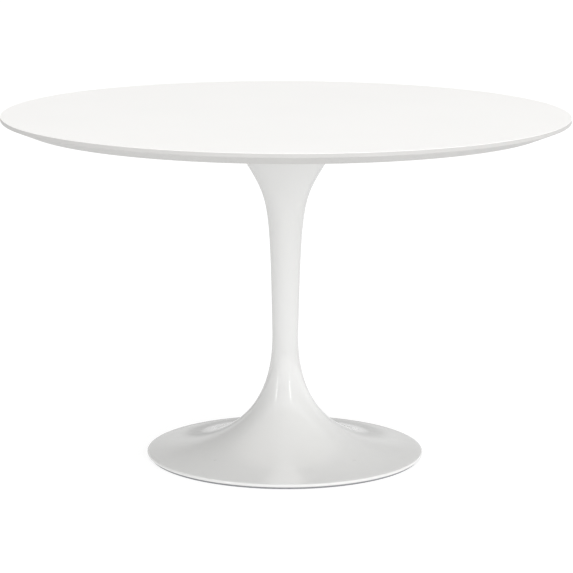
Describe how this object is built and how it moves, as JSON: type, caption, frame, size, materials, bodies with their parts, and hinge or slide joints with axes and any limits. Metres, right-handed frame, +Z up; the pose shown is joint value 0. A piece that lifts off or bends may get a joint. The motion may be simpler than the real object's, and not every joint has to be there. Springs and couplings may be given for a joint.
{
  "type": "round pedestal table",
  "caption": "Round table with a bevelled white top on one trumpet-shaped gloss white column that flares into a round foot, with hidden levelling feet.",
  "frame": {"origin": "centre of the foot, on the floor that the glide ring stands on", "axes": "+Z up along the axis of the column; +X and +Y level, with the levelling feet on the diagonals between them"},
  "size_m": [1.2, 1.2, 0.74],
  "materials": {
    "white_laminate": "satin",
    "white_lacquered_board": "satin",
    "white_backer": "matte",
    "gloss_white_coated_iron": "gloss",
    "raw_cast_iron": "matte",
    "zinc_steel": "satin",
    "brass": "satin",
    "white_foam": "matte",
    "grey_polyethylene": "satin",
    "black_nylon": "satin"
  },
  "bodies": {
    "table": {"top_laminate": "white_laminate", "top_core": "white_lacquered_board", "backer_laminate": "white_backer", "pedestal_casting": "gloss_white_coated_iron", "mounting_spider": "raw_cast_iron", "lip_seal": "white_foam", "tie_rod": "zinc_steel", "rod_jam_nut": "zinc_steel", "tie_nut": "zinc_steel", "clamp_washer": "zinc_steel", "spring_washer": "zinc_steel", "threaded_insert_1": "brass", "spider_washer_1": "zinc_steel", "spider_screw_1": "zinc_steel", "threaded_insert_2": "brass", "spider_washer_2": "zinc_steel", "spider_screw_2": "zinc_steel", "threaded_insert_3": "brass", "spider_washer_3": "zinc_steel", "spider_screw_3": "zinc_steel", "threaded_insert_4": "brass", "spider_washer_4": "zinc_steel", "spider_screw_4": "zinc_steel", "threaded_insert_5": "brass", "spider_washer_5": "zinc_steel", "spider_screw_5": "zinc_steel", "threaded_insert_6": "brass", "spider_washer_6": "zinc_steel", "spider_screw_6": "zinc_steel", "glide_ring": "grey_polyethylene"},
    "leveller_pad_1": {"leveller_pad_1": "black_nylon"},
    "leveller_pad_2": {"leveller_pad_2": "black_nylon"},
    "leveller_pad_3": {"leveller_pad_3": "black_nylon"},
    "leveller_pad_4": {"leveller_pad_4": "black_nylon"},
    "leveller_stud_1": {"leveller_stud_1": "zinc_steel"},
    "leveller_stud_2": {"leveller_stud_2": "zinc_steel"},
    "leveller_stud_3": {"leveller_stud_3": "zinc_steel"},
    "leveller_stud_4": {"leveller_stud_4": "zinc_steel"}
  },
  "joints": [
    {"name": "leveller_1_height", "type": "slide", "parent": "table", "child": "leveller_pad_1", "axis": [0, 0, 1], "range_m": [-0.005, 0]},
    {"name": "leveller_1_turn", "type": "hinge", "parent": "leveller_pad_1", "child": "leveller_stud_1", "pos_m": [0.14142, 0.14142, 0.0073], "axis": [0, 0, 1], "range_deg": [-1440, 0]},
    {"name": "leveller_2_height", "type": "slide", "parent": "table", "child": "leveller_pad_2", "axis": [0, 0, 1], "range_m": [-0.005, 0]},
    {"name": "leveller_2_turn", "type": "hinge", "parent": "leveller_pad_2", "child": "leveller_stud_2", "pos_m": [-0.14142, 0.14142, 0.0073], "axis": [0, 0, 1], "range_deg": [-1440, 0]},
    {"name": "leveller_3_height", "type": "slide", "parent": "table", "child": "leveller_pad_3", "axis": [0, 0, 1], "range_m": [-0.005, 0]},
    {"name": "leveller_3_turn", "type": "hinge", "parent": "leveller_pad_3", "child": "leveller_stud_3", "pos_m": [-0.14142, -0.14142, 0.0073], "axis": [0, 0, 1], "range_deg": [-1440, 0]},
    {"name": "leveller_4_height", "type": "slide", "parent": "table", "child": "leveller_pad_4", "axis": [0, 0, 1], "range_m": [-0.005, 0]},
    {"name": "leveller_4_turn", "type": "hinge", "parent": "leveller_pad_4", "child": "leveller_stud_4", "pos_m": [0.14142, -0.14142, 0.0073], "axis": [0, 0, 1], "range_deg": [-1440, 0]}
  ],
  "couplings": [
    {"joint": "leveller_1_height", "follows": "leveller_1_turn", "m_per_rad": 0.00019894},
    {"joint": "leveller_2_height", "follows": "leveller_2_turn", "m_per_rad": 0.00019894},
    {"joint": "leveller_3_height", "follows": "leveller_3_turn", "m_per_rad": 0.00019894},
    {"joint": "leveller_4_height", "follows": "leveller_4_turn", "m_per_rad": 0.00019894}
  ]
}
